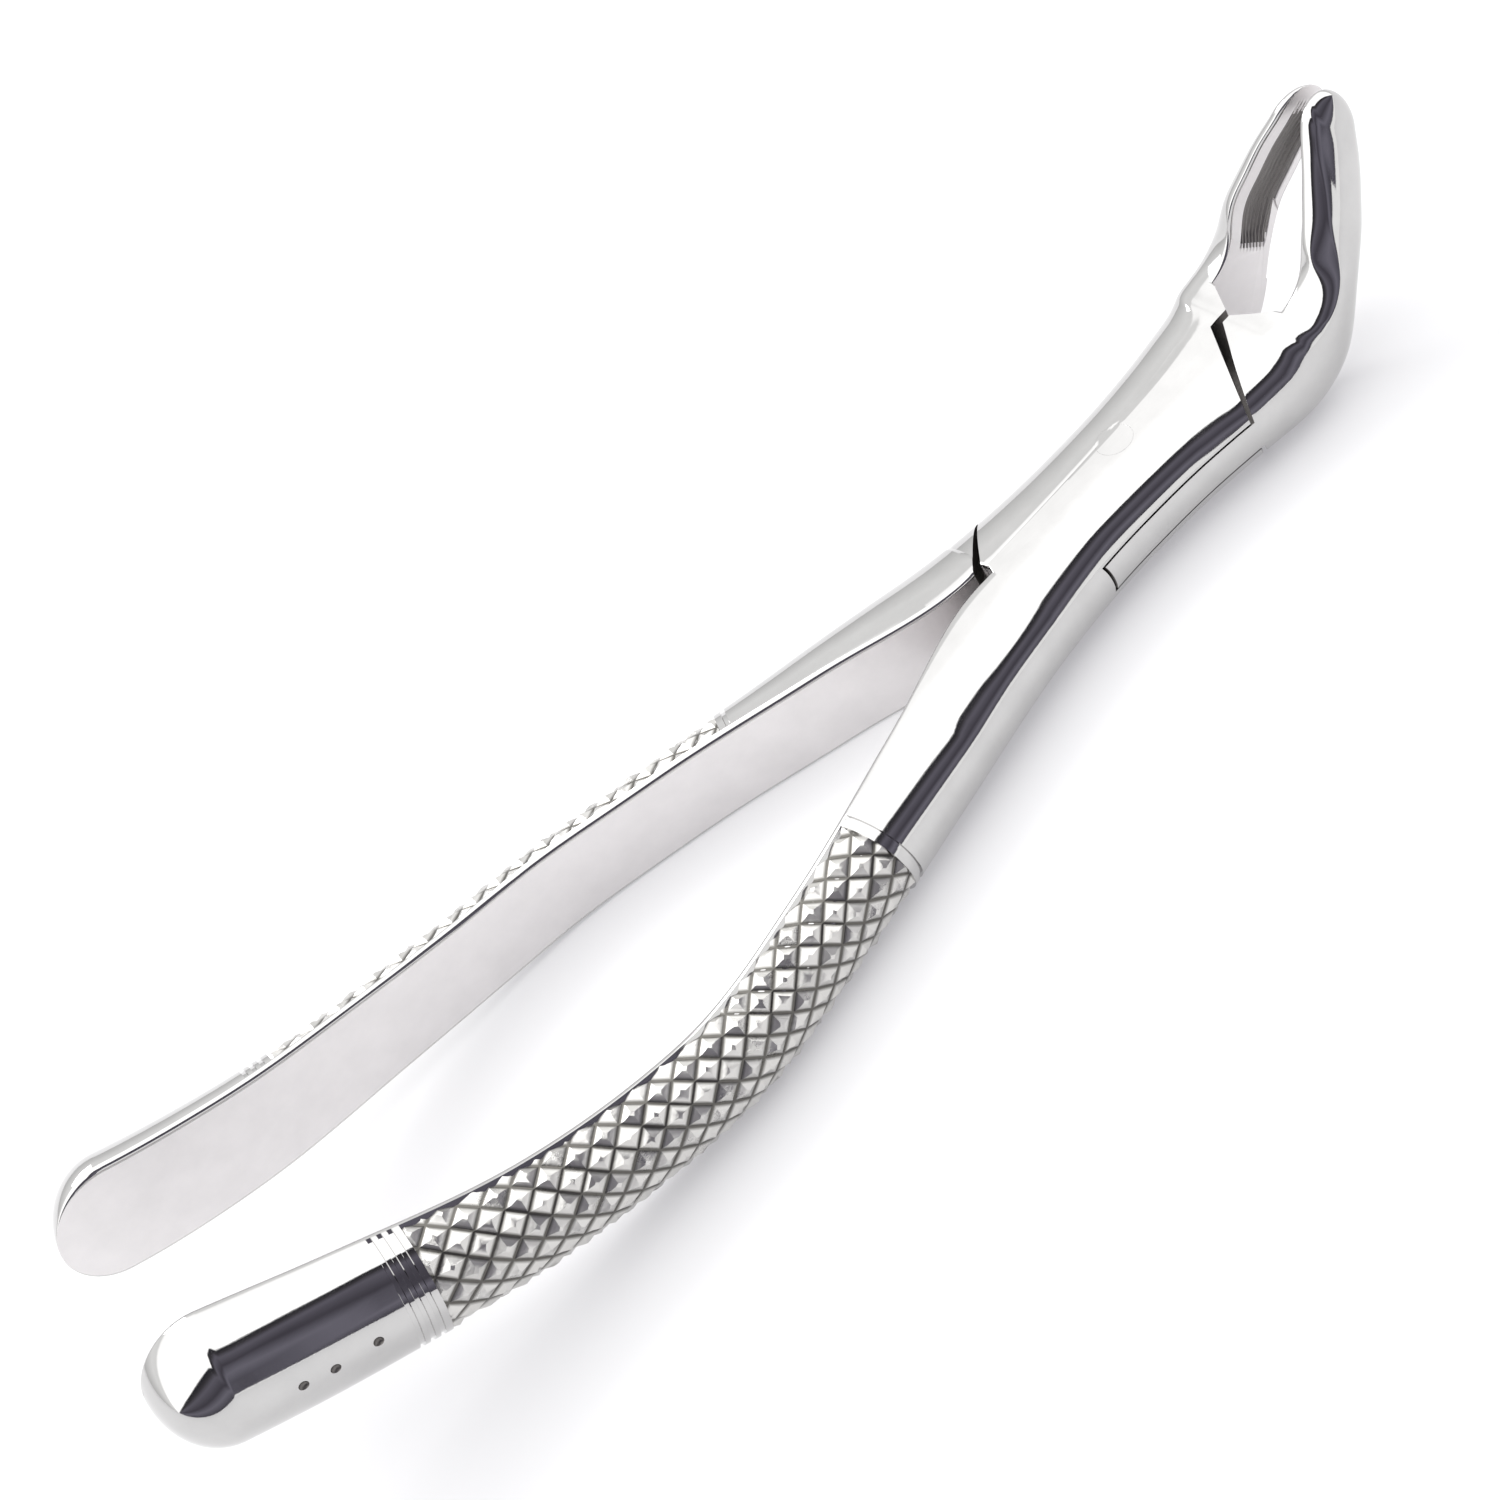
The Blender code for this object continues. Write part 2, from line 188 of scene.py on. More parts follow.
# Floor, in millimetres, and the light and the camera, in metres and degrees.
FLOOR_REACH, FLOOR_HEIGHT = 3000, -0.02
KEY_PLACE, KEY_SIZE, KEY_POWER = (-0.15, 0.45, 0.45), (0.35, 0.35), 2.0
CAMERA_PLACE, CAMERA_TURNS = (-0.07376, -0.15371, 0.16879), (38.638, 26.266, -38.428)
CAMERA_LENS, CAMERA_SENSOR = 55.0, 36.0


def slope_at(points, index):
    """Slope of the smooth curve at one of its points: level at ends, peaks and flat stretches."""
    if index in (0, len(points) - 1):
        return 0.0
    before, here, after = points[index - 1:index + 2]
    if (here[1] - before[1]) * (after[1] - here[1]) <= 0:
        return 0.0
    return (after[1] - before[1]) / (after[0] - before[0])


def smooth(points, t):
    """Value at t of a smooth curve through the points, held level beyond its ends."""
    if t <= points[0][0]:
        return points[0][1]
    if t >= points[-1][0]:
        return points[-1][1]
    index = max(i for i, point in enumerate(points) if point[0] <= t)
    start, end = points[index], points[index + 1]
    span = end[0] - start[0]
    slope_start, slope_end = slope_at(points, index), slope_at(points, index + 1)
    u = (t - start[0]) / span
    return (
        (1 + 2 * u) * (1 - u) ** 2 * start[1] + u * (1 - u) ** 2 * span * slope_start
        + u * u * (3 - 2 * u) * end[1] + u * u * (u - 1) * span * slope_end
    )


def softened(points, t, reach):
    """The smooth curve averaged over a stretch, which leaves no sudden change of curvature."""
    near = [
        smooth(points, t + reach * step / SOFTENING_STEPS)
        for step in range(-SOFTENING_STEPS, SOFTENING_STEPS + 1)
    ]
    return sum(near) / len(near)


def ramp(value, start, end):
    """0 before start, 1 after end, and a smooth rise between them."""
    u = min(max((value - start) / (end - start), 0.0), 1.0)
    return u * u * (3 - 2 * u)


def arc_path_point(t):
    """X, Z and slope angle at t of the path made of straight stretches and arcs."""
    if t < RISE_START:
        angle = (RISE_START - t) / RISE_RADIUS
        x = RISE_START - RISE_RADIUS * math.sin(angle)
        return x, PATH_HEIGHT + RISE_RADIUS * (1 - math.cos(angle)), -angle
    if t <= BEND_START:
        return t, PATH_HEIGHT, 0.0
    angle = min((t - BEND_START) / BEND_RADIUS, BEAK_ANGLE)
    straight = max(t - BEND_START - BEND_RADIUS * BEAK_ANGLE, 0.0)
    x = BEND_START + BEND_RADIUS * math.sin(angle) + straight * math.cos(angle)
    z = PATH_HEIGHT + BEND_RADIUS * (1 - math.cos(angle)) + straight * math.sin(angle)
    return x, z, angle


def path_point(t):
    """X, Z and slope angle of the path at t, with the arcs eased into the straight stretches."""
    near = [
        arc_path_point(t + PATH_EASING * step / EASING_STEPS)
        for step in range(-EASING_STEPS, EASING_STEPS + 1)
    ]
    return tuple(sum(values) / len(near) for values in zip(*near))


def inner_face(t):
    """Distance from the middle plane to the inner face at t."""
    if t < JOINED_FROM:
        return softened(INNER, t, INNER_REACH)
    if t <= JOINED_TO:
        return JOINED_INNER
    return softened(CROWN_GAP, t, CROWN_REACH)


def outer_side(t, side):
    """Distance from the middle plane to the outer side at t; side is +1 for left, -1 for right."""
    slimmer = smooth(LEFT_SLIMMER, t) if side > 0 else 0.0
    return softened(OUTER, t, OUTER_REACH) - slimmer


def half_heights(t):
    """Section's height above and below the path at t."""
    extra = END_FLARE * ramp(t, FLARE_START, FLARE_START - FLARE_LENGTH)
    return softened(ABOVE, t, ABOVE_REACH) + extra, softened(BELOW, t, BELOW_REACH) + extra


def end_scale(t):
    """How much the section has shrunk at t, in the domed nose and the rounded beak tip."""
    into_nose = (HANDLE_END + NOSE_LENGTH - t) / NOSE_LENGTH
    into_tip = (t - BEAK_TIP + TIP_LENGTH) / TIP_LENGTH
    depth = min(max(into_nose, into_tip, 0.0), MOST_DEPTH)
    return math.sqrt(1 - depth * depth)


def resample(points, count):
    """The polyline's points at count + 1 even steps of its length."""
    points = np.asarray(points)
    steps = np.hypot(*np.diff(points, axis=0).T)
    length = np.concatenate([[0.0], np.cumsum(steps)])
    at = np.linspace(0.0, length[-1], count + 1)
    return np.column_stack([np.interp(at, length, points[:, i]) for i in (0, 1)])


def quarter(start, end, squareness):
    """Shares of its width and height along part of a rounded quarter, from turns off its top."""
    turns = np.linspace(start, end, SIDE_SAMPLES)
    return np.sin(turns) ** (2 / squareness), np.cos(turns) ** (2 / squareness)


def convex_side(t, side):
    """Section's outer line from its top corner round to its bottom corner, in three stretches."""
    scale = end_scale(t)
    above, below = (height * scale for height in half_heights(t))
    inner = inner_face(t)
    outer = inner + (outer_side(t, side) - inner) * scale
    corner = smooth(UPPER_CORNER, t) * scale
    plain = inner + corner + SIDE_GAP * scale
    on_box = JOINED_FROM <= t <= JOINED_TO
    creased = on_box or (side < 0 and t < JOINED_FROM)
    flat_end = max(softened(CREASE_Y[side], t, CREASE_REACH), plain) if creased else plain
    crease = CREASE_TURN * smooth(CREASE_FADE, t)
    out, rise = quarter(crease, 0.5 * math.pi, smooth(SQUARENESS_ABOVE, t))
    centre = (flat_end - outer * out[0]) / (1 - out[0])
    upper = np.column_stack([centre + (outer - centre) * out, above * rise / rise[0]])
    below_start = max(smooth(CREASE_Y[1], t), LEAST_UNDER) if on_box else plain
    out, rise = quarter(0.5 * math.pi, 0.0, SQUARENESS_BELOW)
    lower = np.column_stack([below_start + (outer - below_start) * out, -below * rise])
    return (
        resample([(inner + corner, above), (flat_end, above)], FLAT_COLUMNS),
        resample(np.vstack([upper, lower[1:]]), SIDE_COLUMNS),
        resample([(below_start, -below), (inner + LOWER_CORNER * scale, -below)], FLAT_COLUMNS),
    )


def section_normals(points):
    """Outward normals of an open line that runs clockwise from top to bottom."""
    along = np.gradient(points, axis=0)
    normals = np.column_stack([-along[:, 1], along[:, 0]])
    return normals / np.linalg.norm(normals, axis=1)[:, None]


def ring_middles(first, outward, count):
    """Places of the middles of the rings at one end of the grip."""
    return [first + outward * (ring + FIRST_RING) * RING_PITCH for ring in range(count)]


def grip_relief(t):
    """How far the grip's core and its end rings lie under the smooth surface at t."""
    if GRIP_END < t < GRIP_START:
        return GRIP_INSET
    middles = [middle for grip_end in GRIP_ENDS for middle in ring_middles(*grip_end)]
    in_ring = min(abs(t - middle) for middle in middles) < (RING_FLOOR + RING_RIM) / 2
    return RING_DEPTH if in_ring else 0.0


def beak_hollow(t):
    """Depth of the serrated hollow across a beak's inner face, bottom to top, at t."""
    across = np.linspace(0.0, 1.0, INNER_COLUMNS + 1)
    share = (across - HOLLOW_LOW) / (HOLLOW_HIGH - HOLLOW_LOW)
    edge = np.clip(np.minimum(share, 1.0 - share) / HOLLOW_EDGE, 0.0, 1.0)
    edge = edge * edge * (3 - 2 * edge)
    depth = smooth(HOLLOW, t)
    ridges = RIDGE_HEIGHT * (0.5 + 0.5 * np.cos(2 * math.pi * RIDGES * share))
    bowl = 1 - HOLLOW_BOWL + HOLLOW_BOWL * (1 - (2 * share - 1) ** 2)
    return np.maximum(depth * bowl - ridges, 0.0) * edge


def section(t, side):
    """Closed outline of one half at t, as (distance from the middle plane, height over the path)."""
    scale = end_scale(t)
    top, rounded, under = convex_side(t, side)
    relief = grip_relief(t)
    if relief:
        columns = np.arange(len(rounded))
        from_rim = np.minimum(columns, len(rounded) - 1 - columns)
        shrink = np.clip(from_rim, 0.0, 1.0) * relief
        rounded = rounded - section_normals(rounded) * shrink[:, None]
    rounded[0, 1] -= CREASE_GROOVE[side] * smooth(CREASE_FADE, t)
    outer_line = np.vstack([top[:-1], rounded, under[1:]])
    upper, lower = smooth(UPPER_CORNER, t) * scale, LOWER_CORNER * scale
    inner = inner_face(t)
    high, low = top[0][1], under[-1][1]
    turns = np.linspace(0.0, 0.5 * math.pi, CORNER_COLUMNS + 2)[1:-1]
    bottom_corner = np.column_stack([
        inner + lower * (1 - np.sin(turns)), low + lower * (1 - np.cos(turns)),
    ])
    top_corner = np.column_stack([
        inner + upper * (1 - np.cos(turns)), high - upper * (1 - np.sin(turns)),
    ])
    heights = np.linspace(low + lower, high - upper, INNER_COLUMNS + 1)
    face = np.column_stack([inner + beak_hollow(t) * scale, heights])
    return np.vstack([outer_line, bottom_corner, face, top_corner])


def to_space(t, outline, side):
    """Points in space, in millimetres, of section points at t."""
    x, z, angle = path_point(t)
    return np.column_stack([
        x - outline[:, 1] * math.sin(angle), side * outline[:, 0], z + outline[:, 1] * math.cos(angle),
    ])


def lean(t):
    """How far sections at t lean, in millimetres along the path per millimetre across."""
    return GRIP_LEAN * ramp(t, LEAN_START, LEAN_FULL) * (1 - ramp(t, LEAN_FADE, LEAN_END))


def leaned(t, outline, side):
    """Points in space of a section at t that leans, each one slid along the handle's surface."""
    if lean(t) == 0.0:
        return to_space(t, outline, side)
    inner, outer = inner_face(t), outer_side(t, side)
    points = to_space(t, outline, side)
    for point, across in zip(points, outline[:, 0]):
        slid = t + lean(t) * (across - inner)
        share = (across - inner) / (outer - inner)
        point[0] += slid - t
        point[1] = side * (inner_face(slid) + share * (outer_side(slid, side) - inner_face(slid)))
    return points


def steps(start, end, size):
    """Even places from start to end, about size apart."""
    return list(np.linspace(start, end, max(int(round(abs(end - start) / size)), 1) + 1))


def end_places(tip, length, inward):
    """Places along a rounded end, closer together towards its tip."""
    return [tip + inward * length * (1 - math.sin(math.radians(turn))) for turn in END_TURNS]


def ring_places():
    """Places on both sides of every edge of the grip's rings."""
    places = []
    for first, outward, count in GRIP_ENDS:
        places += [first - RING_STEP * outward, first + RING_STEP * outward]
        for middle in ring_middles(first, outward, count):
            places += [middle + off for off in (-RING_RIM, -RING_FLOOR, 0.0, RING_FLOOR, RING_RIM)]
    return places


def handle_places():
    """Places of the handle's sections, from its nose to the box."""
    places = [HANDLE_END] + end_places(HANDLE_END, NOSE_LENGTH, 1)
    places += steps(HANDLE_END + NOSE_LENGTH, -109.0, HANDLE_STEP)
    places += ring_places() + steps(GRIP_END + 1.0, GRIP_START - 1.0, GRIP_STEP)
    places += steps(-45.5, SPLIT, HANDLE_STEP)
    return sorted(places)


def front_places():
    """Places of the sections from the box to the beak's tip."""
    places = steps(SPLIT, -20.0, HANDLE_STEP) + [-19.0, -18.4, JOINED_FROM]
    places += steps(-17.0, BEND_START, BOX_STEP)
    places += steps(BEND_START + 0.5, 22.8, BEND_STEP) + [JOINED_TO, 24.0]
    places += steps(24.4, BEAK_TIP - TIP_LENGTH, BEAK_STEP)
    return sorted(set(places + end_places(BEAK_TIP, TIP_LENGTH, -1) + [BEAK_TIP]))


def new_object(name, data):
    """Object for a mesh, a light or a camera, put into the scene."""
    made = bpy.data.objects.new(name, data)
    bpy.context.scene.collection.objects.link(made)
    return made


def mesh_from(name, vertices, faces, marks):
    """Mesh from vertices in millimetres, with each face's material index and outward faces."""
    mesh = bpy.data.meshes.new(name)
    mesh.from_pydata((np.asarray(vertices) * MM).tolist(), [], faces)
    mesh.polygons.foreach_set("material_index", marks)
    shape = bmesh.new()
    shape.from_mesh(mesh)
    bmesh.ops.recalc_face_normals(shape, faces=shape.faces)
    shape.to_mesh(mesh)
    shape.free()
    return mesh


def sweep(name, places, side, closed_start, closed_end):
    """Sweep of the sections at these places, capped at the ends that are closed."""
    rings = [leaned(t, section(t, side), side) for t in places]
    count = len(rings[0])
    outer_columns = 2 * FLAT_COLUMNS + SIDE_COLUMNS
    first_inner = outer_columns + 1 + CORNER_COLUMNS
    faces, marks = [], []
    for ring in range(len(rings) - 1):
        on_box = JOINED_FROM <= places[ring] < JOINED_TO
        serrated = beak_hollow(places[ring]) + beak_hollow(places[ring + 1]) > SERRATED_FROM
        for column in range(count):
            following = (column + 1) % count
            base = ring * count
            near = (base + column, base + following)
            faces.append(near + (near[1] + count, near[0] + count))
            on_inner = first_inner <= column < first_inner + INNER_COLUMNS
            # Inner faces off the box, the beaks' too, take the satin steel, whose lighter colour is
            # partly painted light.
            mark = SATIN_PAINTED_LIGHT if on_inner and not on_box else POLISHED
            if on_inner and serrated[column - first_inner]:
                mark = SERRATED
            marks.append(mark)
    if closed_start:
        faces.append(tuple(range(count)))
        marks.append(POLISHED)
    if closed_end:
        faces.append(tuple(range((len(rings) - 1) * count, len(rings) * count)))
        marks.append(POLISHED)
    return mesh_from(name, np.vstack(rings), faces, marks)


def prism(outline, low, high, mark=MACHINED):
    """Upright prism over an outline in plan, between two heights, as a cutter."""
    count = len(outline)
    vertices = [(x, y, low) for x, y in outline] + [(x, y, high) for x, y in outline]
    faces = [tuple(range(count)), tuple(range(count, 2 * count))]
    for point in range(count):
        following = (point + 1) % count
        faces.append((point, following, count + following, count + point))
    return mesh_from("cutter", vertices, faces, [mark] * len(faces))


def coat(mesh):
    """Give a mesh the steels that it lacks, in the order of its faces' material indexes."""
    for name in list(STEELS)[len(mesh.materials):]:
        mesh.materials.append(bpy.data.materials[name])


def combine(target, tool_mesh, operation):
    """Apply a Boolean of the tool's mesh to the target."""
    tool = new_object("tool", tool_mesh)
    coat(target.data)
    coat(tool.data)
    modifier = target.modifiers.new("combine", "BOOLEAN")
    modifier.operation = operation
    modifier.solver = "EXACT"
    modifier.object = tool
    depsgraph = bpy.context.evaluated_depsgraph_get()
    result = bpy.data.meshes.new_from_object(target.evaluated_get(depsgraph))
    target.modifiers.clear()
    target.data = result
    bpy.data.objects.remove(tool)


def weld(part):
    """Close the pinholes that a Boolean leaves between almost coinciding points."""
    shape = bmesh.new()
    shape.from_mesh(part.data)
    bmesh.ops.remove_doubles(shape, verts=shape.verts, dist=WELD * MM)
    bmesh.ops.dissolve_degenerate(shape, edges=shape.edges, dist=WELD * MM)
    bmesh.ops.holes_fill(shape, edges=[e for e in shape.edges if e.is_boundary], sides=6)
    shape.to_mesh(part.data)
    shape.free()


def arc(radius, start, end, count=24):
    """Points along an arc about the pin."""
    turns = np.linspace(start, end, count)
    return [(radius * math.cos(turn), radius * math.sin(turn)) for turn in turns]


def edge_x(edge, y):
    """X of a wall edge or shoulder at y."""
    return edge[0] + edge[1] * y


def rear_left(edge, seam):
    """Plan region behind an edge, to the left of a seam."""
    return [
        (-FAR, seam), (edge_x(edge, seam), seam), (edge_x(edge, WALL_REACH), WALL_REACH),
        (edge_x(edge, WALL_REACH), FAR), (-FAR, FAR),
    ]


def front_right(edge, seam):
    """Plan region ahead of an edge, to the right of a seam."""
    return [
        (FAR, seam), (edge_x(edge, seam), seam), (edge_x(edge, -WALL_REACH), -WALL_REACH),
        (edge_x(edge, -WALL_REACH), -FAR), (FAR, -FAR),
    ]


def pin_circle(radius):
    """Plan outline of the pin or of its hole."""
    return arc(radius, 0.0, 2 * math.pi, 97)[:-1]


def joined_front():
    """Both halves from the box to the beaks' tips as one solid, parted by the notch."""
    whole = new_object("front", sweep("front", front_places(), 1, True, True))
    combine(whole, sweep("front_right", front_places(), -1, True, True), "UNION")
    weld(whole)
    notch = [
        (NOTCH_APEX, 0.0), (NOTCH_END, NOTCH_HALF_WIDTH), (NOTCH_FAR, NOTCH_HALF_WIDTH),
        (NOTCH_FAR, -NOTCH_HALF_WIDTH), (NOTCH_END, -NOTCH_HALF_WIDTH),
    ]
    # The notch's cut faces take the satin steel, whose lighter colour is partly painted light.
    combine(whole, prism(notch, -FAR, NOTCH_TOP, SATIN_PAINTED_LIGHT), "DIFFERENCE")
    return whole


def female_front(whole):
    """Slotted box with the left beak."""
    part = new_object("female_half_steel", whole.data.copy())
    rear_seam, front_seam = REAR_SEAM[1], FRONT_SEAM[1]
    combine(part, prism(rear_left(WALL_REAR, rear_seam), -FAR, FAR), "DIFFERENCE")
    combine(part, prism(front_right(WALL_FRONT, front_seam), -FAR, FAR), "DIFFERENCE")
    rear_start = math.pi + math.asin(-rear_seam / SLOT_RADIUS)
    front_start = math.asin(front_seam / SLOT_RADIUS)
    slot = [(-FAR, rear_seam)] + arc(SLOT_RADIUS, rear_start, math.pi + ARC_END)
    slot += [(slot[-1][0], -FAR), (FAR, -FAR), (FAR, front_seam)]
    slot += arc(SLOT_RADIUS, front_start, ARC_END)
    slot += [(slot[-1][0], FAR), (-FAR, FAR)]
    low, high = SLOT_MIDDLE - SLOT_HALF_HEIGHT, SLOT_MIDDLE + SLOT_HALF_HEIGHT
    combine(part, prism(slot, low, high), "DIFFERENCE")
    combine(part, prism(pin_circle(PIN_RADIUS + PIN_CLEARANCE), -FAR, FAR), "DIFFERENCE")
    return part


def male_front(whole):
    """Tongue with the right beak."""
    part = new_object("male_half_steel", whole.data.copy())
    rear_seam, front_seam = REAR_SEAM[0], FRONT_SEAM[0]
    behind = rear_left(SHOULDER_REAR, rear_seam)
    ahead = front_right(SHOULDER_FRONT, front_seam)
    around = behind[:4] + [(FAR, FAR)] + ahead[:4] + [(-FAR, -FAR)]
    combine(part, prism(around, SLOT_MIDDLE + TONGUE_HALF_HEIGHT, FAR), "DIFFERENCE")
    combine(part, prism(around, -FAR, SLOT_MIDDLE - TONGUE_HALF_HEIGHT), "DIFFERENCE")
    for sign, seam in ((1.0, rear_seam), (-1.0, -front_seam)):
        outline = [(-FAR, seam), (-TONGUE_RADIUS, seam)]
        outline += arc(TONGUE_RADIUS, math.pi, math.pi + ARC_END)
        outline += [(outline[-1][0], -FAR), (-FAR, -FAR)]
        turned = [(sign * x, sign * y) for x, y in outline]
        combine(part, prism(turned, -FAR, FAR), "DIFFERENCE")
    combine(part, prism(pin_circle(PIN_RADIUS + PIN_CLEARANCE), -FAR, FAR), "DIFFERENCE")
    return part


def add_handle(part, side):
    """Join the handle to the box's end and bevel the machined edges."""
    shape = bmesh.new()
    shape.from_mesh(part.data)
    split_x = SPLIT * MM
    cap = [f for f in shape.faces if all(abs(v.co.x - split_x) < ON_CAP * MM for v in f.verts)]
    bmesh.ops.delete(shape, geom=cap, context="FACES_ONLY")
    bmesh.ops.remove_doubles(shape, verts=shape.verts, dist=WELD * MM)
    bmesh.ops.dissolve_degenerate(shape, edges=shape.edges, dist=WELD * MM)
    cut_edges = [
        e for e in shape.edges
        if len(e.link_faces) == 2 and e.calc_face_angle(0.0) > BEVEL_ANGLE
        and any(f.material_index == MACHINED for f in e.link_faces)
    ]
    bmesh.ops.bevel(
        shape, geom=cut_edges, offset=EDGE_BEVEL * MM, offset_type="OFFSET", segments=2,
        profile=0.5, affect="EDGES", clamp_overlap=True,
    )
    shape.from_mesh(sweep("handle", handle_places(), side, True, False))
    seam = [v for v in shape.verts if abs(v.co.x - split_x) < ON_SEAM * MM]
    bmesh.ops.remove_doubles(shape, verts=seam, dist=SEAM_WELD * MM)
    shape.to_mesh(part.data)
    shape.free()


def punch(part, side):
    """Press the row of small dots into the handle's end."""
    for t, share in PUNCH_MARKS:
        line = resample(np.vstack(convex_side(t, side)), PUNCH_COLUMNS)
        above = line + PUNCH_LIFT * section_normals(line)
        centre = to_space(t, above, side)[int(share * PUNCH_COLUMNS)]
        ball = bpy.data.meshes.new("dot")
        shape = bmesh.new()
        bmesh.ops.create_icosphere(shape, subdivisions=3, radius=PUNCH_RADIUS * MM)
        bmesh.ops.translate(shape, vec=[float(c) * MM for c in centre], verts=shape.verts)
        for face in shape.faces:
            face.material_index = MACHINED
        shape.to_mesh(ball)
        shape.free()
        combine(part, ball, "DIFFERENCE")


def surface_table(side):
    """Grid over the grip's smooth surface: places, section lengths, distances, points, normals."""
    places = np.array(steps(GRIP_END - TABLE_MARGIN, GRIP_START + TABLE_MARGIN, TABLE_STEP))
    lengths, distances, points, normals = [], [], [], []
    for t in places:
        line = resample(np.vstack(convex_side(t, side)), TABLE_COLUMNS)
        facing = section_normals(line)
        lengths.append(np.hypot(*np.diff(line, axis=0).T).sum())
        distances.append(line[:, :1] - inner_face(t))
        points.append(leaned(t, line, side))
        normals.append(to_space(t, line + facing, side) - to_space(t, line, side))
    return places, np.array(lengths), np.array(distances), np.array(points), np.array(normals)


def look_up(table, places, t, v):
    """Values of a grid table at places t along the grip and v (0 to 1) round it."""
    rows = np.clip((t - places[0]) / (places[1] - places[0]), 0, len(places) - 1.001)
    columns = np.clip(v * TABLE_COLUMNS, 0, TABLE_COLUMNS - 0.001)
    row, column = rows.astype(int), columns.astype(int)
    a, b = (rows - row)[:, None], (columns - column)[:, None]
    low = table[row, column] * (1 - b) + table[row, column + 1] * b
    high = table[row + 1, column] * (1 - b) + table[row + 1, column + 1] * b
    return low * (1 - a) + high * a


def knurl_cells(span_x, span_u):
    """Pyramids on a flat lattice turned 45 degrees: bmesh in X, distance round and height 0 to 1."""
    shape = bmesh.new()
    corners = ((0, 0), (1, 0), (1, 1), (0, 1))
    reach = int((span_x[1] - span_x[0] + span_u[1]) / KNURL_PITCH) + 2
    verts = {}

    def vert(p, q, height):
        key = (round(p, 4), round(q, 4))
        if key not in verts:
            verts[key] = shape.verts.new(((q + p) / 2, (q - p) / 2, height))
        return verts[key]

    for i in range(-reach, reach):
        for j in range(-reach, reach):
            p0, q0 = span_x[0] + i * KNURL_PITCH, span_x[0] + j * KNURL_PITCH
            x, u = (q0 + p0 + KNURL_PITCH) / 2, (q0 - p0) / 2
            outside = x < span_x[0] - KNURL_PITCH or x > span_x[1] + KNURL_PITCH
            if outside or u < span_u[0] - KNURL_PITCH or u > span_u[1] + KNURL_PITCH:
                continue
            squares = []
            for inset, height in KNURL_PROFILE:
                squares.append([
                    vert(p0 + KNURL_PITCH * (inset + a * (1 - 2 * inset)),
                         q0 + KNURL_PITCH * (inset + b * (1 - 2 * inset)), height)
                    for a, b in corners
                ])
            for outer, inner in zip(squares, squares[1:]):
                for k in range(4):
                    shape.faces.new((outer[k], outer[(k + 1) % 4], inner[(k + 1) % 4], inner[k]))
            shape.faces.new(squares[-1])
    return shape


def clip(shape, place, normal):
    """Cut off what lies on the normal's side of a plane."""
    geometry = shape.verts[:] + shape.edges[:] + shape.faces[:]
    bmesh.ops.bisect_plane(shape, geom=geometry, plane_co=place, plane_no=normal, clear_outer=True)


def build_knurl(name, side):
    """Closed shell of pyramids that wraps the grip's rounded side."""
    places, lengths, distances, points, normals = surface_table(side)
    x_of = np.array([path_point(t)[0] for t in places])
    rim = np.array([inner_face(t) for t in places])
    shape = knurl_cells((x_of[0], x_of[-1]), (rim.min(), rim.max() + lengths.max()))
    lattice = np.array([v.co[:] for v in shape.verts])
    t = np.interp(lattice[:, 0], x_of, places)
    around = (lattice[:, 1] - np.interp(t, places, rim)) / np.interp(t, places, lengths)
    t -= np.array([lean(place) for place in t]) * look_up(distances, places, t, around)[:, 0]
    for v, place, turn in zip(shape.verts, t, around):
        v.co = (place, turn * ROUND, v.co.z)
    margin = ROUND * KNURL_RIM / lengths.mean()
    clip(shape, (GRIP_START, 0, 0), (1, 0, 0))
    clip(shape, (GRIP_END, 0, 0), (-1, 0, 0))
    clip(shape, (0, margin, 0), (0, -1, 0))
    clip(shape, (0, ROUND - margin, 0), (0, 1, 0))
    bmesh.ops.dissolve_degenerate(shape, edges=shape.edges, dist=KNURL_WELD)
    count = len(shape.verts)
    shape.verts.index_update()
    flat = np.array([v.co[:] for v in shape.verts])
    faces = [[v.index for v in f.verts] for f in shape.faces]
    border = [[v.index for v in e.verts] for e in shape.edges if e.is_boundary]
    shape.free()
    base = look_up(points, places, flat[:, 0], flat[:, 1] / ROUND)
    facing = look_up(normals, places, flat[:, 0], flat[:, 1] / ROUND)
    wear = np.random.default_rng(WEAR_SEED).normal(0.0, KNURL_WEAR, (count, 3)) * flat[:, 2:]
    wear = np.clip(wear, -MOST_WEAR, MOST_WEAR)
    lift = KNURL_LOW + (KNURL_HIGH - KNURL_LOW) * flat[:, 2] - np.abs(wear[:, 0])
    base += wear
    top = base + facing * lift[:, None]
    bottom = base + facing * (-GRIP_INSET - KNURL_ROOT)
    faces += [[count + i for i in reversed(face)] for face in faces]
    faces += [[a, b, count + b, count + a] for a, b in border]
    mesh = mesh_from(name, np.vstack([top, bottom]), faces, [POLISHED] * len(faces))
    groove = mesh.attributes.new("height", "FLOAT", "POINT")
    groove.data.foreach_set("value", np.concatenate([flat[:, 2], np.zeros(count)]))
    return new_object(name, mesh)


def node(tree, kind, **values):
    """New shader node with some of its sockets' values set."""
    made = tree.nodes.new(kind)
    for socket, value in values.items():
        made.inputs[socket.replace("_", " ")].default_value = value
    return made


def ramp_node(tree, source, stops):
    """Colour ramp over a value, from (position, colour) stops."""
    made = tree.nodes.new("ShaderNodeValToRGB")
    while len(made.color_ramp.elements) < len(stops):
        made.color_ramp.elements.new(1.0)
    for element, (position, colour) in zip(made.color_ramp.elements, stops):
        element.position = position
        element.color = (*colour, 1.0)
    tree.links.new(source, made.inputs["Fac"])
    return made.outputs["Color"]


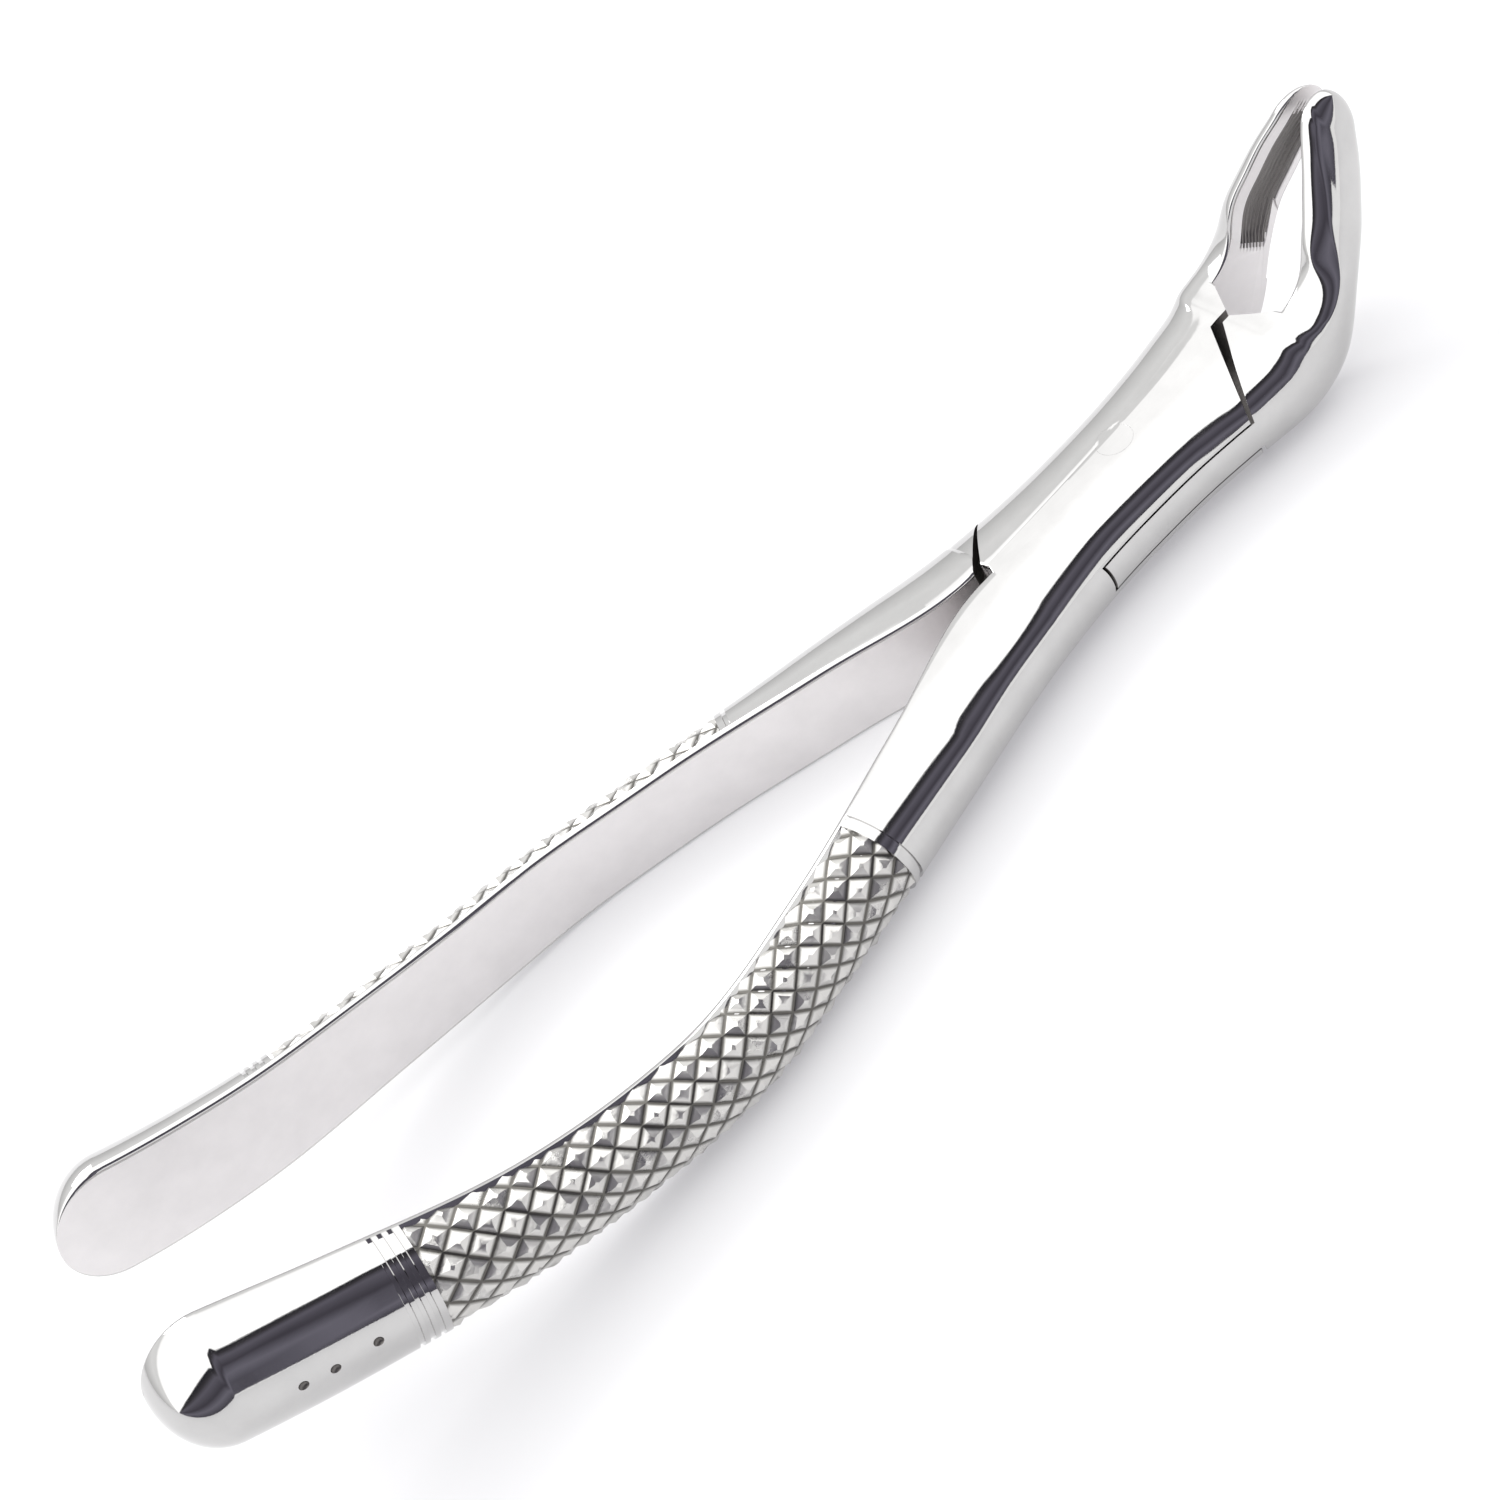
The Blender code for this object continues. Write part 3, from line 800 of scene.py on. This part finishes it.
def multiplied(tree, first, second):
    """Product of two colours."""
    made = tree.nodes.new("ShaderNodeMix")
    made.data_type = "RGBA"
    made.blend_type = "MULTIPLY"
    made.inputs["Factor"].default_value = 1.0
    tree.links.new(first, made.inputs["A"])
    tree.links.new(second, made.inputs["B"])
    return made.outputs["Result"]


def steel(name, tone, roughness, spread, scratch, grain=LONG_GRAIN):
    """Steel whose roughness drifts between two values, with fine marks drawn out as the grain says."""
    material = bpy.data.materials.new(name)
    material.use_nodes = True
    tree = material.node_tree
    shader = tree.nodes["Principled BSDF"]
    shader.inputs["Metallic"].default_value = 1.0
    place = tree.nodes.new("ShaderNodeTexCoord")
    cloud = node(tree, "ShaderNodeTexNoise", Scale=260.0, Detail=5.0, Roughness=0.6)
    tree.links.new(place.outputs["Object"], cloud.inputs["Vector"])
    rough = node(tree, "ShaderNodeMapRange", To_Min=roughness, To_Max=roughness + spread)
    tree.links.new(cloud.outputs["Fac"], rough.inputs["Value"])
    tree.links.new(rough.outputs["Result"], shader.inputs["Roughness"])
    stained = [level * STAIN for level in tone]
    colour = ramp_node(tree, cloud.outputs["Fac"], ((0.3, stained), (0.7, tone)))
    tree.links.new(colour, shader.inputs["Base Color"])
    stretch = tree.nodes.new("ShaderNodeMapping")
    stretch.inputs["Scale"].default_value = grain
    tree.links.new(place.outputs["Object"], stretch.inputs["Vector"])
    lines = node(tree, "ShaderNodeTexNoise", Scale=4.0, Detail=6.0, Roughness=0.7)
    tree.links.new(stretch.outputs["Vector"], lines.inputs["Vector"])
    bump = node(tree, "ShaderNodeBump", Strength=scratch, Distance=0.00004)
    tree.links.new(lines.outputs["Fac"], bump.inputs["Height"])
    tree.links.new(bump.outputs["Normal"], shader.inputs["Normal"])
    return material


def knurl_steel(name):
    """Steel that is bright on the pyramids, with painted shade darkening it down in the grooves."""
    material = steel(name, *KNURLED_STEEL, EVEN_GRAIN)
    tree = material.node_tree
    shader = tree.nodes["Principled BSDF"]
    height = tree.nodes.new("ShaderNodeAttribute")
    height.attribute_name = "height"
    # Painted shade: the colour darkens with depth in the knurl's grooves.
    groove_shade = ramp_node(tree, height.outputs["Fac"], GROOVE_PAINTED_SHADE)
    unshaded_colour = shader.inputs["Base Color"].links[0].from_socket
    tree.links.new(multiplied(tree, unshaded_colour, groove_shade), shader.inputs["Base Color"])
    return material


def dress(piece, body):
    """Give a piece its shading and body."""
    piece.data.shade_smooth()
    piece.data.set_sharp_from_angle(angle=SHARP_ANGLE)
    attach(piece, body)


def build_object():
    """The two halves with their knurls, and the pin."""
    for name, looks in STEELS.items():
        steel(name, *looks)
    gripping = knurl_steel("knurled_steel")
    whole = joined_front()
    pin = new_object("hinge_pin_steel", whole.data.copy())
    combine(pin, prism(pin_circle(PIN_RADIUS), -FAR, FAR), "INTERSECT")
    halves = (
        ("female", "female_half", female_front(whole), -1),
        ("male", "male_half", male_front(whole), 1),
    )
    bpy.data.objects.remove(whole)
    for body, node_name, part, side in halves:
        add_handle(part, side)
        if side < 0:
            punch(part, side)
        dress(part, body)
        knurl = build_knurl(node_name + "_knurl", side)
        knurl.data.materials.append(gripping)
        dress(knurl, body)
        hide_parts(node_name)
    dress(pin, "female")
    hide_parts("hinge_pin")


def math_node(tree, operation, first, second):
    """Sum, product or other operation of two sockets or numbers."""
    made = tree.nodes.new("ShaderNodeMath")
    made.operation = operation
    for socket, value in zip(made.inputs, (first, second)):
        if isinstance(value, (int, float)):
            socket.default_value = value
        else:
            tree.links.new(value, socket)
    return made.outputs["Value"]


def greys(stops):
    """Stops of a colour ramp, from positions and levels of grey."""
    return [(position, (level,) * 3) for position, level in stops]


def build_sky(scene):
    """White surroundings, greyer low down on the far side, with a dark wall low on the near side.

    The turn is 0 at the near side's horizon (-Y), 0.5 overhead and 1 at the far side's horizon.
    The dark wall's top is ragged, and highest about a third of the way towards +X.
    """
    world = bpy.data.worlds.new("studio")
    scene.world = world
    world.use_nodes = True
    tree = world.node_tree
    background = tree.nodes["Background"]
    place = tree.nodes.new("ShaderNodeTexCoord")
    parts = tree.nodes.new("ShaderNodeSeparateXYZ")
    tree.links.new(place.outputs["Generated"], parts.inputs["Vector"])
    nearness = math_node(tree, "MULTIPLY", parts.outputs["Y"], -1.0)
    turn = math_node(tree, "ARCTAN2", parts.outputs["Z"], nearness)
    turn = math_node(tree, "DIVIDE", turn, math.pi)
    wall_top = ramp_node(tree, parts.outputs["X"], greys(WALL_TOP))
    ragged = node(tree, "ShaderNodeTexNoise", Scale=70.0, Detail=4.0, Roughness=0.75)
    tree.links.new(place.outputs["Generated"], ragged.inputs["Vector"])
    shake = math_node(tree, "SUBTRACT", ragged.outputs["Fac"], 0.5)
    shake = math_node(tree, "MULTIPLY", shake, RAGGEDNESS)
    above_wall = math_node(tree, "SUBTRACT", math_node(tree, "ADD", turn, shake), wall_top)
    # A value of 0.5 is the wall's top.
    above_wall = math_node(tree, "ADD", above_wall, 0.5)
    wall = ramp_node(tree, above_wall, WALL_COLOURS)
    # Towards +X the wall stands on a light plinth.
    plinth_top = ramp_node(tree, parts.outputs["X"], greys(PLINTH_TOP))
    plinth = tree.nodes.new("ShaderNodeMix")
    plinth.data_type = "RGBA"
    tree.links.new(math_node(tree, "GREATER_THAN", plinth_top, turn), plinth.inputs["Factor"])
    tree.links.new(wall, plinth.inputs["A"])
    plinth.inputs["B"].default_value = PLINTH_COLOUR
    far = ramp_node(tree, turn, greys(FAR_SIDE))
    colour = multiplied(tree, plinth.outputs["Result"], far)
    tree.links.new(colour, background.inputs["Color"])
    background.inputs["Strength"].default_value = SKY_STRENGTH


def build_floor():
    """Pale floor under the tool."""
    corners = [
        (x * FLOOR_REACH, y * FLOOR_REACH, FLOOR_HEIGHT) for x, y in ((-1, -1), (1, -1), (1, 1), (-1, 1))
    ]
    floor = new_object("floor", mesh_from("floor", corners, [(0, 1, 2, 3)], [0]))
    paint = bpy.data.materials.new("floor_paint")
    paint.use_nodes = True
    shader = paint.node_tree.nodes["Principled BSDF"]
    shader.inputs["Base Color"].default_value = (0.48, 0.48, 0.48, 1.0)
    shader.inputs["Roughness"].default_value = 0.9
    shader.inputs["Specular IOR Level"].default_value = 0.0
    # A faint glow of its own keeps the floor's shadows light.
    shader.inputs["Emission Color"].default_value = (0.97, 0.96, 1.0, 1.0)
    shader.inputs["Emission Strength"].default_value = 0.36
    floor.data.materials.append(paint)


def build_key_light():
    """Soft light from the far side, turned towards the pin."""
    data = bpy.data.lights.new("key", "AREA")
    data.shape = "RECTANGLE"
    data.size, data.size_y = KEY_SIZE
    data.energy = KEY_POWER
    lamp = new_object("key", data)
    lamp.location = KEY_PLACE
    x, y, z = KEY_PLACE
    tilt = math.atan2(-z, math.hypot(x, y))
    lamp.rotation_euler = (math.pi / 2 + tilt, 0.0, math.atan2(-y, -x) - math.pi / 2)


def build_camera():
    """Camera over the right handle's end, looking along the tool at its beaks."""
    data = bpy.data.cameras.new("camera")
    data.lens = CAMERA_LENS
    data.sensor_width = CAMERA_SENSOR
    camera = new_object("camera", data)
    camera.location = CAMERA_PLACE
    camera.rotation_euler = [math.radians(turn) for turn in CAMERA_TURNS]
    bpy.context.scene.camera = camera


def build_studio():
    """Surroundings that the steel mirrors, floor, light and camera."""
    scene = bpy.context.scene
    scene.view_settings.view_transform = "Standard"
    build_sky(scene)
    build_floor()
    build_key_light()
    build_camera()


build_object()
build_studio()
